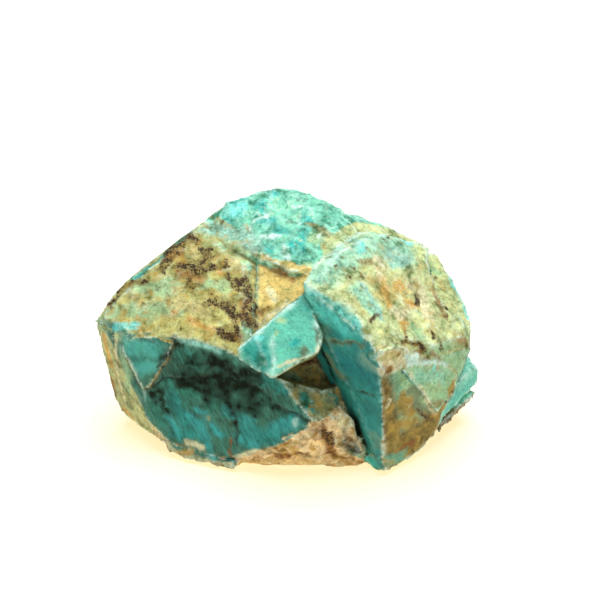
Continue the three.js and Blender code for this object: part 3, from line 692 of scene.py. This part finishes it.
# Grains of four sizes, in mm
PATCH, GRAIN, GRIT, SPECK = 3.0, 1.0, 0.42, 0.28
scaled = add("ShaderNodeMapping", {"Vector": place, "Scale": (PATCH * MM,) * 3}, vector_type="TEXTURE")
patchy = add("ShaderNodeTexNoise", {"Vector": scaled.outputs[0], "Scale": 1.0,
                                    "Detail": 4.0}).outputs["Fac"]
scaled = add("ShaderNodeMapping", {"Vector": place, "Scale": (GRAIN * MM,) * 3}, vector_type="TEXTURE")
mottled = add("ShaderNodeTexNoise", {"Vector": scaled.outputs[0], "Scale": 1.0, "Detail": 3.0,
                                     "Roughness": 0.6}).outputs["Fac"]
scaled = add("ShaderNodeMapping", {"Vector": place, "Scale": (GRIT * MM,) * 3}, vector_type="TEXTURE")
gritty = add("ShaderNodeTexNoise", {"Vector": scaled.outputs[0], "Scale": 1.0, "Detail": 2.0,
                                    "Roughness": 0.65}).outputs["Fac"]
scaled = add("ShaderNodeMapping", {"Vector": place, "Scale": (SPECK * MM,) * 3}, vector_type="TEXTURE")
speckled = add("ShaderNodeTexNoise", {"Vector": scaled.outputs[0], "Scale": 1.0, "Detail": 3.0,
                                      "Roughness": 0.75}).outputs["Fac"]

# Greener, darker grains and bleached ones in every tone
grained = add("ShaderNodeMath", {0: patchy, 1: mottled}, operation="ADD").outputs[0]
darker = add("ShaderNodeMapRange", {"Value": grained, "From Min": 1.0, "From Max": 0.72}).outputs[0]
darker = add("ShaderNodeMath", {0: darker, 1: mixed}, operation="MULTIPLY").outputs[0]
grain_tint = add("ShaderNodeMix", {0: rusty, 6: linear("#62AC9E"), 7: linear("#B09058")},
                 data_type="RGBA").outputs[2]
colour = add("ShaderNodeMix", {0: darker, 6: painted_tone, 7: grain_tint}, data_type="RGBA",
             blend_type="MULTIPLY").outputs[2]
paler = add("ShaderNodeMapRange", {"Value": grained, "From Min": 1.02, "From Max": 1.32}).outputs[0]
paler = add("ShaderNodeMath", {0: paler, 1: mixed}, operation="MULTIPLY").outputs[0]
BLEACHED = (1.55, 1.50, 1.35, 1.0)    # over 1, because it makes a tone lighter
colour = add("ShaderNodeMix", {0: paler, 6: colour, 7: BLEACHED}, data_type="RGBA",
             blend_type="MULTIPLY").outputs[2]
rough = add("ShaderNodeMath", {0: 1.0, 1: streaky}, operation="SUBTRACT").outputs[0]
grit_dark = add("ShaderNodeMapRange", {"Value": gritty, "From Min": 0.50, "From Max": 0.28,
                                       "To Max": 0.6}).outputs[0]
grit_dark = add("ShaderNodeMath", {0: grit_dark, 1: rough}, operation="MULTIPLY").outputs[0]
colour = add("ShaderNodeMix", {0: grit_dark, 6: colour, 7: linear("#8C9A76")}, data_type="RGBA",
             blend_type="MULTIPLY").outputs[2]

# Iron that water has left, in gold and brown blots
IRON_BLOT = 1.7
scaled = add("ShaderNodeMapping", {"Vector": place, "Scale": (IRON_BLOT * MM,) * 3}, vector_type="TEXTURE")
blots = add("ShaderNodeTexNoise", {"Vector": scaled.outputs[0], "Scale": 1.0, "Detail": 4.0,
                                   "Roughness": 0.6, "Distortion": 0.6}).outputs["Fac"]
ironed = add("ShaderNodeMapRange", {"Value": blots, "From Min": 0.50, "From Max": 0.66,
                                    "To Max": 0.85}).outputs[0]
ironed = add("ShaderNodeMath", {0: ironed, 1: rusty}, operation="MULTIPLY").outputs[0]
colour = add("ShaderNodeMix", {0: ironed, 6: colour, 7: linear("#C29E46")}, data_type="RGBA").outputs[2]
browned = add("ShaderNodeMapRange", {"Value": blots, "From Min": 0.44, "From Max": 0.30,
                                     "To Max": 0.8}).outputs[0]
browned = add("ShaderNodeMath", {0: browned, 1: rusty}, operation="MULTIPLY").outputs[0]
colour = add("ShaderNodeMix", {0: browned, 6: colour, 7: linear("#A08452")}, data_type="RGBA",
             blend_type="MULTIPLY").outputs[2]

# Pale albite lamellae and bands of clearer feldspar: the sizes of their noise, mm across and along them
ALBITE = (0.4, 0.4, 2.0)
CLEAR_BAND = (1.8, 1.8, 6.0)
TWIN_RUN = STREAK_RUN.to_track_quat("Z", "Y").to_euler()
laid = add("ShaderNodeMapping", {"Vector": place, "Rotation": TWIN_RUN,
                                 "Scale": [size * MM for size in ALBITE]}, vector_type="TEXTURE")
lamellae = add("ShaderNodeTexNoise", {"Vector": laid.outputs[0], "Scale": 1.0, "Detail": 3.0,
                                      "Roughness": 0.65, "Distortion": 1.2}).outputs["Fac"]
laid = add("ShaderNodeMapping", {"Vector": place, "Rotation": TWIN_RUN,
                                 "Scale": [size * MM for size in CLEAR_BAND]}, vector_type="TEXTURE")
bands = add("ShaderNodeTexNoise", {"Vector": laid.outputs[0], "Scale": 1.0, "Detail": 3.0,
                                   "Roughness": 0.6, "Distortion": 1.0}).outputs["Fac"]
dark_band = add("ShaderNodeMapRange", {"Value": bands, "From Min": 0.50, "From Max": 0.32,
                                       "To Max": 0.6}).outputs[0]
dark_band = add("ShaderNodeMath", {0: dark_band, 1: streaky}, operation="MULTIPLY").outputs[0]
colour = add("ShaderNodeMix", {0: dark_band, 6: colour, 7: linear("#194A3C")}, data_type="RGBA").outputs[2]
pale_streak = add("ShaderNodeMapRange", {"Value": lamellae, "From Min": 0.50, "From Max": 0.68,
                                         "To Max": 0.42}).outputs[0]
pale_streak = add("ShaderNodeMath", {0: pale_streak, 1: streaky}, operation="MULTIPLY").outputs[0]
colour = add("ShaderNodeMix", {0: pale_streak, 6: colour, 7: linear("#46AFA6")},
             data_type="RGBA").outputs[2]
dark_streak = add("ShaderNodeMapRange", {"Value": lamellae, "From Min": 0.50, "From Max": 0.34,
                                         "To Max": 0.5}).outputs[0]
dark_streak = add("ShaderNodeMath", {0: dark_streak, 1: streaky}, operation="MULTIPLY").outputs[0]
colour = add("ShaderNodeMix", {0: dark_streak, 6: colour, 7: linear("#123F38")},
             data_type="RGBA").outputs[2]

# Smoky patches, uneven and ragged along the lamellae, with the painted shadow along the front face's notch
# and the painted shade on the blade
cloudy = add("ShaderNodeMath", {0: mottled, 1: lamellae}, operation="ADD").outputs[0]
smoke_and_painted_shade = add("ShaderNodeMapRange", {"Value": cloudy, "From Min": 0.78, "From Max": 1.16, "To Min": 0.6,
                                   "To Max": 1.5}).outputs[0]
smoke_and_painted_shade = add("ShaderNodeMath", {0: smoke_and_painted_shade, 1: shaded}, operation="MULTIPLY", use_clamp=True).outputs[0]
colour = add("ShaderNodeMix", {0: smoke_and_painted_shade, 6: colour, 7: linear("#131D10")}, data_type="RGBA").outputs[2]

# Fine pale veins where the feldspar is grainy
VEIN_SPACING = 2.6
scaled = add("ShaderNodeMapping", {"Vector": place, "Scale": (VEIN_SPACING * MM,) * 3},
             vector_type="TEXTURE")
vein = add("ShaderNodeTexNoise", {"Vector": scaled.outputs[0], "Scale": 1.0, "Detail": 2.0,
                                  "Distortion": 1.0}).outputs["Fac"]
vein = add("ShaderNodeMath", {0: vein, 1: 0.5, 2: 0.02}, operation="COMPARE").outputs[0]
broken = add("ShaderNodeMapRange", {"Value": patchy, "From Min": 0.46, "From Max": 0.6,
                                    "To Max": 0.4}).outputs[0]
vein = add("ShaderNodeMath", {0: vein, 1: broken}, operation="MULTIPLY").outputs[0]
vein = add("ShaderNodeMath", {0: vein, 1: veined}, operation="MULTIPLY").outputs[0]
colour = add("ShaderNodeMix", {0: vein, 6: colour, 7: linear("#DDF0D6")}, data_type="RGBA").outputs[2]

# Soot: brown stain with black-brown crumbs in it
gathered = add("ShaderNodeMapRange", {"Value": mottled, "From Min": 0.35, "From Max": 0.6, "To Min": 0.3,
                                      "To Max": 1.1}).outputs[0]
gathered = add("ShaderNodeMath", {0: gathered, 1: sooty}, operation="MULTIPLY").outputs[0]
stain = add("ShaderNodeMath", {0: gathered, 1: 0.8}, operation="MULTIPLY", use_clamp=True).outputs[0]
colour = add("ShaderNodeMix", {0: stain, 6: colour, 7: linear("#806230")}, data_type="RGBA").outputs[2]
crumb = add("ShaderNodeMath", {0: gathered, 1: 0.25, 2: speckled}, operation="MULTIPLY_ADD").outputs[0]
crumb = add("ShaderNodeMapRange", {"Value": crumb, "From Min": 0.66, "From Max": 0.72,
                                   "To Max": 0.92}).outputs[0]
colour = add("ShaderNodeMix", {0: crumb, 6: colour, 7: linear("#251A0F")}, data_type="RGBA").outputs[2]

# Darker brown in the creases, dark cracks, and pale edges, partly bruised and partly a painted highlight
crease_darkening = add("ShaderNodeMath", {0: sunk, 1: 0.5}, operation="MULTIPLY").outputs[0]
colour = add("ShaderNodeMix", {0: crease_darkening, 6: colour, 7: linear("#4A3C26")}, data_type="RGBA").outputs[2]
crack_cover = add("ShaderNodeMapRange", {"Value": gritty, "From Min": 0.35, "From Max": 0.55,
                                         "To Min": 0.45, "To Max": 0.95}).outputs[0]
crack_cover = add("ShaderNodeMath", {0: crack_cover, 1: cracked}, operation="MULTIPLY").outputs[0]
colour = add("ShaderNodeMix", {0: crack_cover, 6: colour, 7: linear("#2C2A1E")},
             data_type="RGBA").outputs[2]
bruise_and_highlight = add("ShaderNodeMapRange", {"Value": mottled, "From Min": 0.40, "From Max": 0.62, "To Min": 0.05,
                                     "To Max": 0.9}).outputs[0]
bruise_and_highlight = add("ShaderNodeMath", {0: bruise_and_highlight, 1: proud}, operation="MULTIPLY").outputs[0]
clean = add("ShaderNodeMath", {0: 1.0, 1: sooty}, operation="SUBTRACT", use_clamp=True).outputs[0]
bruise_and_highlight = add("ShaderNodeMath", {0: bruise_and_highlight, 1: clean}, operation="MULTIPLY").outputs[0]
colour = add("ShaderNodeMix", {0: bruise_and_highlight, 6: colour, 7: linear("#D9F7EC")}, data_type="RGBA").outputs[2]

# Where it is smoky it is clear, and light goes in and does not come back; the painted shadow and shade are
# made less glossy in the same way
gloss = add("ShaderNodeMapRange", {"Value": smoke_and_painted_shade, "To Min": 0.22, "To Max": 0.05}).outputs[0]
dullness = add("ShaderNodeMapRange", {"Value": streaky, "To Min": 0.65, "To Max": 0.55}).outputs[0]
wavy = add("ShaderNodeMath", {0: lamellae, 1: 0.3}, operation="MULTIPLY").outputs[0]
height = add("ShaderNodeMath", {0: gritty, 1: rough, 2: wavy}, operation="MULTIPLY_ADD").outputs[0]
relief = add("ShaderNodeBump", {"Height": height, "Strength": 0.45, "Distance": 0.3 * MM}).outputs[0]
skin = add("ShaderNodeBsdfPrincipled", {
    "Base Color": colour, "Roughness": dullness, "IOR": 1.53, "Normal": relief,
    "Specular IOR Level": gloss, "Subsurface Weight": 0.1, "Subsurface Radius": (0.6, 1.0, 0.9),
    "Subsurface Scale": 1.0 * MM})
add("ShaderNodeOutputMaterial", {"Surface": skin.outputs[0]})

stone.data.materials.clear()
stone.data.materials.append(feldspar)
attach(stone, "root")
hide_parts("amazonite")

# ---------------------------------------------------------------------------
# The floor: a board of matt card that the stone lies on. Where it is lit, its blue
# and a warm glow of its own make white; in the stone's shade more of the glow is left.

BOARD_SIDE = 5.0    # metres, so that its edges are out of sight
BOARD = linear("#93A2BC")
BOARD_GLOW = linear("#F9E2AD")

bpy.ops.object.select_all(action="DESELECT")
bpy.ops.mesh.primitive_plane_add(size=BOARD_SIDE, location=(0, 0, 0))
floor = bpy.context.object
floor.name = "white_board"
board = bpy.data.materials.new("white board")
board.use_nodes = True
shader = board.node_tree.nodes["Principled BSDF"]
shader.inputs["Base Color"].default_value = BOARD
shader.inputs["Roughness"].default_value = 0.9
shader.inputs["Emission Color"].default_value = BOARD_GLOW
shader.inputs["Emission Strength"].default_value = 1.0
floor.data.materials.append(board)

# ---------------------------------------------------------------------------
# Light: one broad soft box above and a little behind, a weak one in front, and a
# little white light from all round, as in a room with white walls.

STONE_MIDDLE = Vector((0, 0, 20)) * MM


def soft_box(name, place, size, watts):
    """A round soft box, its place and size in metres, turned to the stone."""
    bpy.ops.object.light_add(type="AREA", location=place)
    lamp = bpy.context.object
    lamp.name = name
    lamp.data.shape = "DISK"
    lamp.data.size = size
    lamp.data.energy = watts
    aim = STONE_MIDDLE - Vector(place)
    lamp.rotation_euler = aim.to_track_quat("-Z", "Y").to_euler()


soft_box("top_box", (0.03, 0.06, 0.55), size=0.55, watts=4.6)
soft_box("front_box", (0.10, -0.5, 0.25), size=0.4, watts=0.5)

world = bpy.data.worlds.new("room")
bpy.context.scene.world = world
world.use_nodes = True
world.node_tree.nodes["Background"].inputs["Color"].default_value = (1, 1, 1, 1)
world.node_tree.nodes["Background"].inputs["Strength"].default_value = 0.12

# ---------------------------------------------------------------------------
# The camera: straight on to the long side and looking down on it, with a long lens
# close by, as small specimens are taken. Its place is in mm from the resting face.

CAMERA_PITCH = math.radians(28)
CAMERA_REACH = 259.6 * MM
LOOKED_AT = Vector((1.65, 0.0, 22.0)) * MM

eye = LOOKED_AT + CAMERA_REACH * Vector((0, -math.cos(CAMERA_PITCH), math.sin(CAMERA_PITCH)))
bpy.ops.object.camera_add(location=eye, rotation=(math.radians(90) - CAMERA_PITCH, 0, 0))
camera = bpy.context.object
camera.data.lens = 100
camera.data.sensor_width = 36
camera.data.clip_start = 0.01
bpy.context.scene.camera = camera
bpy.context.scene.view_settings.view_transform = "Standard"
